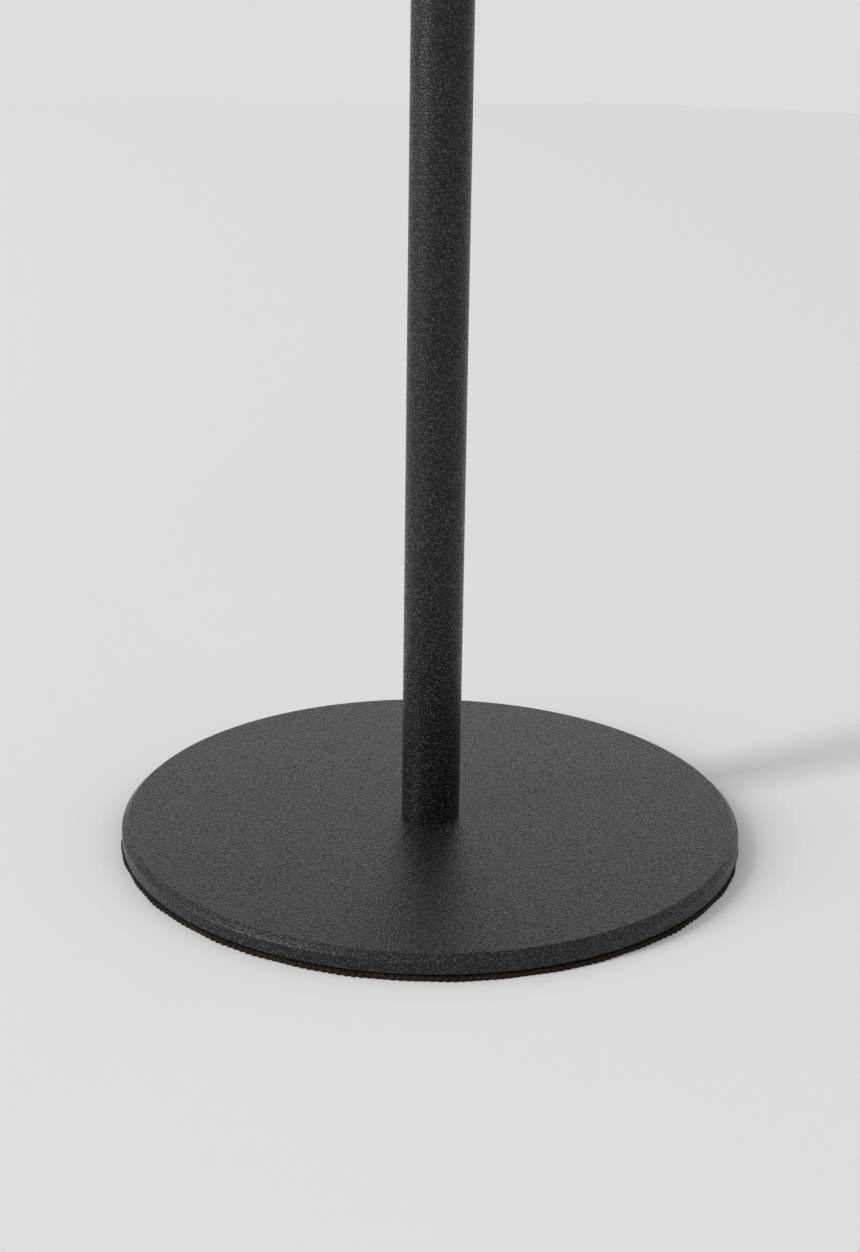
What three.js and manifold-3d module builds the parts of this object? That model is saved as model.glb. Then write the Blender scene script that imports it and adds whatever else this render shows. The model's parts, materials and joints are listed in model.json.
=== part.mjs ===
// Cordless desk lamp: a round steel base, a plain tube stem, and a dome head that tilts on a
// friction hinge and is switched by a push button in its crown.
// Millimetres, +Z up. The origin is the centre of the pad's underside, and -Y is the front.

import * as THREE from 'three';
import { mergeVertices } from 'three/addons/utils/BufferGeometryUtils.js';
import Module from 'manifold-3d';

const wasm = await Module();
wasm.setup();

// Base
const baseRadius = 65;
const plateThickness = 4;
const plateChamferWidth = 1.3;
const plateChamferHeight = 1.2;
const padThickness = 1.4;
const padInset = 0.2;

// Base screw, countersunk at 90 degrees, with a hexagon socket
const baseScrewRadius = 3;
const baseScrewHeadRadius = 6;
const baseScrewHeadLand = 0.3;
const baseScrewLength = 16;
const baseScrewSocket = 4;
const baseScrewSocketDepth = 2.2;

// Stem, a 12 mm tube of 1 mm wall under a coat of 0.1 mm
const tubeRadius = 6;
const tubeWall = 1;
const coatThickness = 0.1;
const insertLength = 20;
const pivotHeight = 335;
const knuckleDrop = 14;
const knuckleCollar = 2;
const knuckleShank = 18;

// Tilt hinge
const tiltLimit = THREE.MathUtils.degToRad(30);
const tongueThickness = 4;
const tongueHalfWidth = 5.5;
const tongueTop = 6.5;
const stopGap = 0.3;
const frictionWasherRadius = 5;
const frictionWasherThickness = 0.8;
const bracketSheet = 2;
const earRadius = 6.5;
const bracketScrewInset = 4;
const bracketScrewRoom = 4.5;
const hingeBoltRadius = 2;
const hingeHexAcrossFlats = 7;
const hingeHeadHeight = 2.8;
const hingeNutHeight = 4;
const springWasherRadius = 4.2;
const springWasherThickness = 0.9;
const boltTail = 1.2;

// Pan-head screws inside the head, in two sizes
const smallScrewRadius = 1.25;
const smallHeadRadius = 2.2;
const smallHeadHeight = 1.6;
const largeScrewRadius = 1.5;
const largeHeadRadius = 2.75;
const largeHeadHeight = 2;

// Shade
const shadeRadius = 75;
const shadeWall = 1;
const rimDrop = 16;
const skirtTop = 8;
const landMargin = 1;
const rimChamfer = 0.4;

// Chassis and light
const chassisInset = 3.2;
const chassisThickness = 2.5;
const ledBoardRoom = 2;
const boardThickness = 1.6;
const ledCount = 12;
const ledSize = 3.5;
const ledHeight = 0.8;
const ledScrewCount = 3;
const panSheet = 1;
const panRun = 8.8;
const diffuserFaceDrop = 5.5;
const diffuserThickness = 2.5;
const wellRoom = 1.2;
const wellWall = 2;
const ringWidth = 7.2;
const ringThickness = 2.5;
const ringChamfer = 0.8;
const ringScrewCount = 3;
const ringScrewBite = 1.2;

// Core housing, its threaded neck and the ring nut on it
const housingWall = 2;
const housingAirGap = 2;
const housingScrewAngle = THREE.MathUtils.degToRad(35);
const housingBossRadius = 3.6;
const housingBossJoin = 0.4;
const housingBossHeight = 12;
const housingScrewBite = 8;
const neckWall = 1.6;
const neckLip = 1.6;
const nutWidth = 4.5;
const nutHeight = 3;
const nutChamfer = 0.8;

// Cells, with their cradle and links
const cellRadius = 9.2;
const cellLength = 65;
const cellSpacing = 19;
const cradleWall = 1.5;
const cradleHeight = 8;
const cradleRoom = 1.9;
const linkThickness = 0.3;
const linkHeight = 8;
const linkOverlap = 5;

// Control board and switch
const controlBoardRadius = 30;
const controlBoardRoom = 3.5;
const controlScrewInset = 5;
const controlScrewCount = 3;
const controlScrewBite = 3.2;
const controlBossRadius = 2.8;
const chipWidth = 5;
const chipHeight = 1;
const coilRadius = 3.5;
const coilHeight = 3;
const capRadius = 2.5;
const capHeight = 2.8;
const partCircle = 16;
const switchSize = 6;
const switchHeight = 3.4;
const plungerRadius = 1.75;
const plungerRise = 1;
const plungerSunk = 1;
const buttonTravel = 0.6;

// Push button
const buttonRadius = 10.8;
const buttonFlange = 1.3;
const buttonProud = 0.4;
const buttonWall = 1.4;
const buttonSkirt = 3.4;
const buttonDish = 0.5;
const nibRadius = 2.2;
const nibLength = 7.4;

// Charging socket on its board
const socketWidth = 8.94;
const socketHeight = 3.26;
const socketDepth = 7.3;
const socketShell = 0.35;
const socketBack = 1;
const socketTongueWidth = 6.7;
const socketTongueSheet = 0.7;
const socketTongueReach = 4.4;
const socketSetBack = 0.7;
const slotMargin = 0.6;
const usbBoardWidth = 18;
const usbBoardLength = 15;
const usbStandoffHeight = 2;
const usbStandoffRadius = 2.5;
const usbScrewSpacing = 13;
const usbScrewInset = 3.6;

// Leads
const ledLeadRadius = 1.2;
const batteryLeadRadius = 0.9;
const usbLeadRadius = 1.2;
const leadHoleMargin = 0.8;

// Fits: play of a plug, a screw or a bolt in its hole, and gaps between faces
const slipGap = 0.1;
const screwPlay = 0.15;
const faceGap = 0.05;
const looseGap = 0.3;
const shadeGap = 0.8;

// Facets round a circle, and steps along the dome
const baseFacets = 72;
const headFacets = 44;
const coreFacets = 28;
const stemFacets = 24;
const hingeFacets = 16;
const screwFacets = 8;
const domeSteps = 7;
const roofSteps = 3;
const dishSteps = 3;

// Heights above the surface, for the pieces of the stand
const plateBottom = padThickness;
const plateTop = plateBottom + plateThickness;
const tubeTop = pivotHeight - knuckleDrop;
const stemRadius = tubeRadius + coatThickness;
const stemBore = tubeRadius - tubeWall;

// Hinge, from the tilt axis out and up. All heights from here on are above the tilt axis.
// The web sits where the tongue's square corners meet it at the end of the tilt.
const cornerReach = Math.hypot(tongueHalfWidth, tongueTop);
const cornerAngle = Math.atan2(tongueTop, tongueHalfWidth);
const webBottom = cornerReach * Math.sin(cornerAngle + tiltLimit) + stopGap;
const chassisBottom = webBottom + bracketSheet;
const chassisTop = chassisBottom + chassisThickness;
const earInside = tongueThickness / 2 + frictionWasherThickness + 2 * faceGap;
const earOutside = earInside + bracketSheet;
const bracketScrewPlace = earRadius + bracketScrewRoom;
const webHalfLength = bracketScrewPlace + bracketScrewInset;

// Underside of the head, from the rim in
const fitRadius = shadeRadius - shadeWall - shadeGap;
const chassisRadius = fitRadius - chassisInset;
const diffuserBottom = -diffuserFaceDrop;
const diffuserTop = diffuserBottom + diffuserThickness;
const panFootTop = diffuserTop + panSheet;
const ringBottom = diffuserBottom - ringThickness;
const ringScrewCircle = fitRadius - smallHeadRadius;
const panFoot = ringScrewCircle - smallHeadRadius;
const panShoulder = panFoot - panRun;

// Cells on the chassis
const cellAxis = chassisTop + cradleWall + cellRadius;
const cellTop = cellAxis + cellRadius;
const cellEnd = cellLength / 2;
const linkEnd = cellEnd + linkThickness;
const linkWidth = cellSpacing + 2 * linkOverlap;
const troughRadius = cellRadius + slipGap;
const cradleHalf = cellSpacing / 2 + troughRadius + cradleWall;
const cradleEnd = linkEnd + looseGap + cradleWall;

// The housing clears the cradle's corners, and its screw bosses stand against its wall.
const housingInner = Math.hypot(cradleHalf, cradleEnd) + cradleRoom;
const housingRadius = housingInner + housingWall;
const housingScrewCircle = housingInner + housingBossJoin - housingBossRadius;

// Light board between the well that the stem stands in and the heads of the housing screws
const wellRadius = Math.hypot(webHalfLength, earOutside) + wellRoom;
const ledBoardInner = wellRadius + wellWall + ledBoardRoom;
const ledBoardOuter = housingScrewCircle - largeHeadRadius - ledBoardRoom;
const ledCircle = (ledBoardInner + ledBoardOuter) / 2;
const panInner = ledBoardOuter + ledBoardRoom / 2;

// Controls above the cells
const controlBoardBottom = cellTop + controlBoardRoom;
const controlBoardTop = controlBoardBottom + boardThickness;
const controlScrewCircle = controlBoardRadius - controlScrewInset;
const leadLanding = controlBoardRadius - controlScrewInset / 2;
const switchTop = controlBoardTop + switchHeight;
const plungerTop = switchTop + plungerRise;

// Crown of the head, from the button out: the stack above fixes its height
const buttonCeiling = plungerTop + faceGap + nibLength;
const buttonFace = buttonCeiling + buttonWall + buttonDish;
const neckTop = buttonFace - buttonProud;
const landTop = neckTop - nutHeight;
const landBottom = landTop - shadeWall;
const buttonFlangeRadius = buttonRadius + buttonFlange;
const neckBore = buttonFlangeRadius + looseGap;
const neckRadius = neckBore + neckWall;
const shadeHoleRadius = neckRadius + 2 * slipGap;
const nutRadius = neckRadius + nutWidth;
const landRadius = nutRadius + landMargin;
const domeHeight = (landTop - skirtTop) / Math.sqrt(1 - (landRadius / shadeRadius) ** 2);

// Charging socket behind the slot in the shade
const usbBoardBottom = chassisTop + usbStandoffHeight;
const usbBoardTop = usbBoardBottom + boardThickness;
const socketMiddle = usbBoardTop + socketHeight / 2;
const socketMouth = domeRadiusAt(socketMiddle, shadeWall) - socketSetBack;
const usbBoardEnd = socketMouth - socketSetBack;
const usbBoardStart = usbBoardEnd - usbBoardLength;

// Finishes
const powderCoat = { color: 0x343536, roughness: 0.55, metalness: 0.1 };
const foamPad = { color: 0x2e2a27, roughness: 0.95, metalness: 0 };
const zincSteel = { color: 0xb9bcc0, roughness: 0.35, metalness: 0.9 };
const blackSteel = { color: 0x2b2c2e, roughness: 0.45, metalness: 0.8 };
const springSteel = { color: 0x8d9094, roughness: 0.3, metalness: 0.95 };
const acetal = { color: 0xe9e7e0, roughness: 0.5, metalness: 0 };
const bareAluminium = { color: 0xc8cacd, roughness: 0.4, metalness: 0.9 };
const whitePlastic = { color: 0xf2f2ef, roughness: 0.5, metalness: 0 };
const opalPlastic = { color: 0xf5f3ec, roughness: 0.45, metalness: 0 };
const blackPlastic = { color: 0x232425, roughness: 0.6, metalness: 0 };
const whiteBoard = { color: 0xeeeeea, roughness: 0.5, metalness: 0 };
const greenBoard = { color: 0x1f5b3a, roughness: 0.5, metalness: 0 };
const cellWrap = { color: 0x2f6fa8, roughness: 0.4, metalness: 0 };
const nickel = { color: 0xc9c6bd, roughness: 0.3, metalness: 0.95 };
const leadSheath = { color: 0x9c2b26, roughness: 0.6, metalness: 0 };

const lamp = new THREE.Group();
const head = new THREE.Group();
head.position.z = pivotHeight;
lamp.add(head);

addStand(lamp);
addHinge(head);
addLight(head);
addCore(head);
addControls(head);
addCharging(head);
addShade(head);

export default lamp;

// Base plate with its pad, and the stem up to the tongue that carries the head.
function addStand(group) {
  const padRadius = baseRadius - padInset;
  const pad = turned([[0, 0], [padRadius, 0], [padRadius, padThickness], [0, padThickness]], baseFacets);
  addPart(group, 'anti_slip_pad', pad, foamPad);

  const sink = screwPlay + slipGap;
  const coneTop = plateBottom + baseScrewHeadLand + baseScrewHeadRadius - baseScrewRadius;
  addPart(group, 'base_plate', turned(closed([
    [baseScrewHeadRadius + sink, plateBottom],
    [baseRadius, plateBottom],
    [baseRadius, plateTop - plateChamferHeight],
    [baseRadius - plateChamferWidth, plateTop],
    [baseScrewRadius + sink, plateTop],
    [baseScrewRadius + sink, coneTop],
    [baseScrewHeadRadius + sink, plateBottom + baseScrewHeadLand],
  ]), baseFacets), powderCoat);

  const screw = turned([
    [0, plateBottom],
    [baseScrewHeadRadius, plateBottom],
    [baseScrewHeadRadius, plateBottom + baseScrewHeadLand],
    [baseScrewRadius, coneTop],
    [baseScrewRadius, plateBottom + baseScrewLength],
    [0, plateBottom + baseScrewLength],
  ], stemFacets);
  const socket = prism(hexagon(baseScrewSocket), 2 * baseScrewSocketDepth);
  socket.translate(0, 0, plateBottom - baseScrewSocketDepth);
  addPart(group, 'base_screw', cut(screw, socket), zincSteel);

  const plugRadius = stemBore - slipGap;
  addPart(group, 'stem_foot_insert', ring(
    baseScrewRadius + slipGap, plugRadius, plateTop, plateTop + insertLength, stemFacets,
  ), zincSteel);
  addPart(group, 'stem_tube', ring(stemBore, stemRadius, plateTop, tubeTop, stemFacets), powderCoat);

  const collar = turned([
    [0, tubeTop - knuckleShank],
    [plugRadius, tubeTop - knuckleShank],
    [plugRadius, tubeTop],
    [stemRadius, tubeTop],
    [stemRadius, tubeTop + knuckleCollar],
    [0, tubeTop + knuckleCollar],
  ], stemFacets);
  const tongueFoot = tubeTop + knuckleCollar / 2;
  const tongueHeight = pivotHeight + tongueTop - tongueFoot;
  const tongue = new THREE.BoxGeometry(tongueThickness, 2 * tongueHalfWidth, tongueHeight);
  tongue.translate(0, 0, tongueFoot + tongueHeight / 2);
  const boltHole = crossRod(hingeBoltRadius + slipGap, tongueThickness * 2, hingeFacets);
  boltHole.translate(0, 0, pivotHeight);
  addPart(group, 'stem_knuckle', cut(join(collar, tongue), boltHole), blackSteel);
}

// Friction hinge: the tongue stands between two washers and the bracket's ears, drawn together
// by the bolt, a spring washer and a locking nut.
function addHinge(group) {
  const boltHole = hingeBoltRadius + slipGap;
  const washerStart = tongueThickness / 2 + faceGap;
  for (const [name, side] of [['left', -1], ['right', 1]]) {
    const washer = ring(boltHole, frictionWasherRadius, 0, frictionWasherThickness, hingeFacets);
    layAlongX(washer, side > 0 ? washerStart : -washerStart - frictionWasherThickness);
    addPart(group, 'friction_washer_' + name, washer, acetal);
  }

  const web = new THREE.BoxGeometry(2 * earOutside, 2 * webHalfLength, bracketSheet);
  web.translate(0, 0, webBottom + bracketSheet / 2);
  const ears = [-1, 1].map((side) => {
    const middle = side * (earInside + bracketSheet / 2);
    const round = crossRod(earRadius, bracketSheet, stemFacets);
    round.translate(middle, 0, 0);
    const leg = new THREE.BoxGeometry(bracketSheet, 2 * earRadius, chassisBottom - bracketSheet / 2);
    leg.translate(middle, 0, (chassisBottom - bracketSheet / 2) / 2);
    return join(round, leg);
  });
  const webHoles = bracketScrewPlaces().map((place) => {
    const hole = rod(largeScrewRadius + screwPlay, webBottom - bracketSheet, chassisBottom + bracketSheet);
    return hole.translate(place.x, place.y, 0);
  });
  const throughEars = crossRod(boltHole, 4 * earOutside, hingeFacets);
  addPart(group, 'hinge_bracket', cut(join(web, ...ears), throughEars, ...webHoles), zincSteel);

  const washerEnd = earOutside + springWasherThickness;
  const nutEnd = washerEnd + hingeNutHeight;
  const boltHead = prism(hexagon(hingeHexAcrossFlats), hingeHeadHeight);
  layAlongX(boltHead, -earOutside - hingeHeadHeight);
  const shank = rod(hingeBoltRadius, -hingeHeadHeight / 2, earOutside + nutEnd + boltTail, hingeFacets);
  layAlongX(shank, -earOutside);
  addPart(group, 'hinge_bolt', join(boltHead, shank), blackSteel);

  const springWasher = ring(boltHole, springWasherRadius, 0, springWasherThickness, hingeFacets);
  addPart(group, 'spring_washer', layAlongX(springWasher, earOutside), springSteel);
  const nut = prism(hexagon(hingeHexAcrossFlats), hingeNutHeight);
  const nutHole = rod(boltHole, -hingeNutHeight, 2 * hingeNutHeight, hingeFacets);
  addPart(group, 'hinge_nut', layAlongX(cut(nut, nutHole), washerEnd), zincSteel);

  const names = ['front', 'rear'];
  bracketScrewPlaces().forEach((place, i) => {
    const screw = panScrew(largeScrewRadius, largeHeadRadius, largeHeadHeight, chassisTop - webBottom);
    screw.translate(place.x, place.y, webBottom);
    addPart(group, 'bracket_screw_' + names[i], screw, zincSteel);
  });
}

// Chassis plate with the light engine under it: board, reflector pan, opal diffuser and its ring.
function addLight(group) {
  const disc = turned([
    [0, chassisBottom], [chassisRadius, chassisBottom], [chassisRadius, chassisTop], [0, chassisTop],
  ], headFacets);
  const standoffs = usbScrewPlaces().map((place) => {
    const standoff = rod(usbStandoffRadius, chassisTop - chassisThickness / 2, usbBoardBottom);
    return standoff.translate(place.x, place.y, 0);
  });
  const drill = (radius) => (place) => {
    const hole = rod(radius + screwPlay, webBottom, usbBoardTop);
    return hole.translate(place.x, place.y, 0);
  };
  addPart(group, 'chassis_plate', cut(
    join(disc, ...standoffs),
    ...bracketScrewPlaces().map(drill(largeScrewRadius)),
    ...housingScrewPlaces().map(drill(largeScrewRadius)),
    ...ledScrewPlaces().map(drill(smallScrewRadius)),
    ...usbScrewPlaces().map(drill(smallScrewRadius)),
    drill(ledLeadRadius + leadHoleMargin)({ x: ledCircle, y: 0 }),
  ), bareAluminium);

  const boardBottom = chassisBottom - boardThickness;
  const leds = around(ledCount, ledCircle).map((place) => {
    const led = new THREE.BoxGeometry(ledSize, ledSize, 2 * ledHeight);
    led.rotateZ(place.angle);
    return led.translate(place.x, place.y, boardBottom);
  });
  const boardHoles = ledScrewPlaces().map((place) => {
    const hole = rod(smallScrewRadius + screwPlay, boardBottom - boardThickness, chassisTop);
    return hole.translate(place.x, place.y, 0);
  });
  const board = ring(ledBoardInner, ledBoardOuter, boardBottom, chassisBottom, headFacets);
  addPart(group, 'led_board', cut(join(board, ...leds), ...boardHoles), whiteBoard);
  ledScrewPlaces().forEach((place, i) => {
    const screw = panScrew(smallScrewRadius, smallHeadRadius, smallHeadHeight, chassisTop - boardBottom);
    screw.translate(place.x, place.y, boardBottom);
    addPart(group, 'led_board_screw_' + (i + 1), screw, zincSteel);
  });

  // The cone's inner line lies one sheet inside its outer line, measured square to it.
  const drop = chassisBottom - panFootTop;
  const slope = Math.hypot(panRun, drop);
  const shift = panSheet * (slope - panRun) / drop;
  const pan = turned(closed([
    [panInner, chassisBottom - panSheet],
    [panShoulder - shift, chassisBottom - panSheet],
    [panFoot - shift, diffuserTop],
    [fitRadius, diffuserTop],
    [fitRadius, panFootTop],
    [panFoot, panFootTop],
    [panShoulder, chassisBottom],
    [panInner, chassisBottom],
  ]), headFacets);
  const panHoles = housingScrewPlaces().map((place) => {
    const hole = rod(largeScrewRadius + screwPlay, chassisBottom - 2 * panSheet, chassisTop);
    return hole.translate(place.x, place.y, 0);
  });
  const footHoles = ringScrewPlaces().map((place) => {
    const hole = rod(smallScrewRadius + slipGap, diffuserTop - panSheet, panFootTop + panSheet);
    return hole.translate(place.x, place.y, 0);
  });
  addPart(group, 'reflector_pan', cut(pan, ...panHoles, ...footHoles), whitePlastic);

  const collarTop = chassisBottom - looseGap;
  const diffuserDisc = turned(closed([
    [wellRadius, diffuserBottom],
    [fitRadius, diffuserBottom],
    [fitRadius, diffuserTop],
    [wellRadius + wellWall, diffuserTop],
    [wellRadius + wellWall, collarTop],
    [wellRadius, collarTop],
  ]), headFacets);
  const ringDisc = turned(closed([
    [fitRadius - ringWidth + ringChamfer, ringBottom],
    [fitRadius, ringBottom],
    [fitRadius, diffuserBottom],
    [fitRadius - ringWidth, diffuserBottom],
    [fitRadius - ringWidth, ringBottom + ringChamfer],
  ]), headFacets);
  const ringHoles = () => ringScrewPlaces().map((place) => {
    const hole = rod(smallScrewRadius + screwPlay, ringBottom - ringThickness, chassisBottom);
    return hole.translate(place.x, place.y, 0);
  });
  addPart(group, 'diffuser', cut(diffuserDisc, ...ringHoles()), opalPlastic);
  addPart(group, 'retaining_ring', cut(ringDisc, ...ringHoles()), blackPlastic);
  ringScrewPlaces().forEach((place, i) => {
    const reach = panFootTop + ringScrewBite - ringBottom;
    const screw = panScrew(smallScrewRadius, smallHeadRadius, smallHeadHeight, reach);
    screw.translate(place.x, place.y, ringBottom);
    addPart(group, 'ring_screw_' + (i + 1), screw, blackSteel);
  });
}

// Core housing: a moulded cup over the cells whose threaded neck holds the shade and the button.
// Its roof follows the shade with an even air gap.
function addCore(group) {
  const outside = shadeWall + housingAirGap;
  const inside = outside + housingWall;
  const shell = turned(closed([
    [housingInner, chassisTop],
    [housingRadius, chassisTop],
    ...domeLine(outside, housingRadius, nutRadius, roofSteps),
    [nutRadius, landBottom],
    [neckRadius, landBottom],
    [neckRadius, neckTop],
    [buttonRadius + 2 * slipGap, neckTop],
    [buttonRadius + 2 * slipGap, neckTop - neckLip],
    [neckBore, neckTop - neckLip],
    ...domeLine(inside, housingInner, neckBore, roofSteps).reverse(),
  ]), coreFacets);
  const bosses = housingScrewPlaces().map((place) => {
    const boss = rod(housingBossRadius, chassisTop, chassisTop + housingBossHeight);
    return boss.translate(place.x, place.y, 0);
  });
  const controlBosses = controlScrewPlaces().map((place) => {
    const roof = domeHeightAt(controlScrewCircle, inside) + housingWall / 2;
    return rod(controlBossRadius, controlBoardTop, roof).translate(place.x, place.y, 0);
  });
  const bossHoles = housingScrewPlaces().map((place) => {
    const end = chassisTop + housingScrewBite + looseGap;
    const hole = rod(largeScrewRadius + slipGap, chassisBottom, end);
    return hole.translate(place.x, place.y, 0);
  });
  const controlHoles = controlScrewPlaces().map((place) => {
    const end = controlBoardTop + controlScrewBite + looseGap;
    const hole = rod(smallScrewRadius + slipGap, controlBoardBottom, end);
    return hole.translate(place.x, place.y, 0);
  });
  const notchSize = 2 * (usbLeadRadius + leadHoleMargin);
  const notch = new THREE.BoxGeometry(notchSize, 4 * housingWall, 2 * notchSize);
  notch.translate(0, housingRadius - housingWall / 2, chassisTop);
  const housing = cut(join(shell, ...bosses, ...controlBosses), ...bossHoles, ...controlHoles, notch);
  addPart(group, 'core_housing', housing, blackPlastic);
  housingScrewPlaces().forEach((place, i) => {
    const start = chassisBottom - panSheet;
    const reach = chassisTop + housingScrewBite - start;
    const screw = panScrew(largeScrewRadius, largeHeadRadius, largeHeadHeight, reach);
    screw.translate(place.x, place.y, start);
    addPart(group, 'housing_screw_' + (i + 1), screw, zincSteel);
  });

  const cradleBlock = new THREE.BoxGeometry(2 * cradleHalf, 2 * cradleEnd, cradleHeight);
  cradleBlock.translate(0, 0, chassisTop + cradleHeight / 2);
  const sides = [['left', -1], ['right', 1]];
  const troughs = sides.map(([, side]) => {
    const trough = alongY(troughRadius, 2 * (linkEnd + looseGap), stemFacets);
    return trough.translate(side * cellSpacing / 2, 0, cellAxis);
  });
  const linkSlots = sides.map(([, side]) => {
    const slot = new THREE.BoxGeometry(
      linkWidth + 2 * looseGap, linkThickness + 2 * looseGap, linkHeight + 2 * looseGap,
    );
    return slot.translate(0, side * (cellEnd + linkThickness / 2), cellAxis);
  });
  addPart(group, 'battery_cradle', cut(cradleBlock, ...troughs, ...linkSlots), blackPlastic);
  for (const [name, side] of sides) {
    const cell = alongY(cellRadius, cellLength, stemFacets);
    cell.translate(side * cellSpacing / 2, 0, cellAxis);
    addPart(group, 'battery_cell_' + name, cell, cellWrap);
  }
  for (const [name, side] of [['front', -1], ['rear', 1]]) {
    const link = new THREE.BoxGeometry(linkWidth, linkThickness, linkHeight);
    link.translate(0, side * (cellEnd + linkThickness / 2), cellAxis);
    addPart(group, 'cell_link_' + name, link, nickel);
  }
}

// Control board under the neck, with the switch that the push button works.
function addControls(group) {
  const disc = turned([
    [0, controlBoardBottom],
    [controlBoardRadius, controlBoardBottom],
    [controlBoardRadius, controlBoardTop],
    [0, controlBoardTop],
  ], coreFacets);
  const makers = [chip, coil, chip, capacitor];
  const soldered = around(makers.length, partCircle, Math.PI / makers.length).map((place, i) => {
    return makers[i]().translate(place.x, place.y, controlBoardTop);
  });
  const holes = controlScrewPlaces().map((place) => {
    const hole = rod(smallScrewRadius + screwPlay, cellTop, switchTop);
    return hole.translate(place.x, place.y, 0);
  });
  addPart(group, 'control_board', cut(join(disc, ...soldered), ...holes), greenBoard);
  controlScrewPlaces().forEach((place, i) => {
    const reach = boardThickness + controlScrewBite;
    const screw = panScrew(smallScrewRadius, smallHeadRadius, smallHeadHeight, reach);
    screw.translate(place.x, place.y, controlBoardBottom);
    addPart(group, 'control_screw_' + (i + 1), screw, zincSteel);
  });

  const body = new THREE.BoxGeometry(switchSize, switchSize, switchHeight);
  body.translate(0, 0, controlBoardTop + switchHeight / 2);
  const wellFloor = switchTop - plungerSunk - buttonTravel - looseGap;
  const well = rod(plungerRadius + slipGap, wellFloor, plungerTop, hingeFacets);
  addPart(group, 'tact_switch', cut(body, well), blackPlastic);
  const plunger = rod(plungerRadius, switchTop - plungerSunk, plungerTop, hingeFacets);
  addPart(group, 'switch_plunger', plunger, acetal);

  // The button is a cup with a dished top, held under the neck's lip by its flange, and a
  // central nib that stands on the switch's plunger.
  const flangeTop = neckTop - neckLip - slipGap;
  const flangeBottom = flangeTop - buttonSkirt;
  const innerSkirt = buttonRadius - buttonWall;
  const dishRim = buttonRadius - buttonDish;
  const dish = [];
  for (let i = dishSteps; i > 0; i -= 1) {
    const share = i / dishSteps;
    dish.push([dishRim * share, buttonFace - buttonDish * (1 - share * share)]);
  }
  addPart(group, 'power_button', turned([
    [0, plungerTop + faceGap],
    [nibRadius, plungerTop + faceGap],
    [nibRadius, buttonCeiling],
    [innerSkirt, buttonCeiling],
    [innerSkirt, flangeBottom],
    [buttonFlangeRadius, flangeBottom],
    [buttonFlangeRadius, flangeTop],
    [buttonRadius, flangeTop],
    [buttonRadius, buttonFace - buttonDish],
    ...dish,
    [0, buttonFace - buttonDish],
  ], coreFacets), blackPlastic);

  addPart(group, 'led_lead', lead(ledLeadRadius, [
    [ledCircle, 0, chassisBottom + looseGap],
    [ledCircle, 0, chassisTop + chassisThickness],
    [ledCircle + 2 * ledLeadRadius, 0, cellAxis],
    [ledCircle, 0, cellTop],
    [ledCircle, 0, controlBoardBottom - looseGap],
  ]), leadSheath);
  const start = -linkEnd - looseGap;
  const outermost = -cradleEnd - 2 * batteryLeadRadius;
  addPart(group, 'battery_lead', lead(batteryLeadRadius, [
    [0, start, cellAxis + linkHeight / 4],
    [0, start - batteryLeadRadius, cellAxis + linkHeight / 4],
    [0, outermost, cellAxis + linkHeight / 2 + batteryLeadRadius],
    [0, outermost + batteryLeadRadius, cellTop - 2 * batteryLeadRadius],
    [0, -leadLanding - batteryLeadRadius, cellTop],
    [0, -leadLanding, controlBoardBottom - batteryLeadRadius],
    [0, -leadLanding, controlBoardBottom - looseGap],
  ]), leadSheath);
}

// Charging socket at the rear, on a small board that stands on the chassis plate.
function addCharging(group) {
  const board = new THREE.BoxGeometry(usbBoardWidth, usbBoardLength, boardThickness);
  board.translate(0, usbBoardEnd - usbBoardLength / 2, usbBoardBottom + boardThickness / 2);
  const holes = usbScrewPlaces().map((place) => {
    const hole = rod(smallScrewRadius + screwPlay, chassisTop, usbBoardTop + boardThickness);
    return hole.translate(place.x, place.y, 0);
  });
  addPart(group, 'usb_board', cut(board, ...holes), greenBoard);
  const names = ['left', 'right'];
  usbScrewPlaces().forEach((place, i) => {
    const reach = usbBoardTop - chassisTop;
    const screw = panScrew(smallScrewRadius, smallHeadRadius, smallHeadHeight, reach);
    screw.rotateX(Math.PI);
    screw.translate(place.x, place.y, usbBoardTop);
    addPart(group, 'usb_screw_' + names[i], screw, zincSteel);
  });

  const shell = stadium(socketWidth, socketHeight, socketDepth);
  const mouth = stadium(socketWidth - 2 * socketShell, socketHeight - 2 * socketShell, socketDepth);
  mouth.translate(0, socketBack, 0);
  const tongueLength = socketTongueReach + socketBack / 2;
  const tongue = new THREE.BoxGeometry(socketTongueWidth, tongueLength, socketTongueSheet);
  tongue.translate(0, (socketBack + tongueLength) / 2 - socketDepth, 0);
  const socket = join(cut(shell, mouth), tongue);
  socket.translate(0, socketMouth, socketMiddle);
  addPart(group, 'usb_socket', socket, nickel);

  const wallMiddle = housingRadius - housingWall / 2;
  addPart(group, 'usb_lead', lead(usbLeadRadius, [
    [0, usbBoardStart + 2 * usbLeadRadius, usbBoardTop + looseGap],
    [0, usbBoardStart + 2 * usbLeadRadius, usbBoardTop + usbLeadRadius],
    [0, usbBoardStart - usbLeadRadius, usbBoardTop + usbLeadRadius],
    [0, wallMiddle + housingWall, chassisTop + 2 * usbLeadRadius],
    [0, wallMiddle - housingWall, chassisTop + 2 * usbLeadRadius],
    [0, cradleEnd + 3 * usbLeadRadius, cellAxis],
    [0, cradleEnd, cellTop - usbLeadRadius],
    [0, leadLanding + usbLeadRadius, controlBoardBottom - 2 * usbLeadRadius],
    [0, leadLanding, controlBoardBottom - usbLeadRadius],
    [0, leadLanding, controlBoardBottom - looseGap],
  ]), leadSheath);
}

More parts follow.
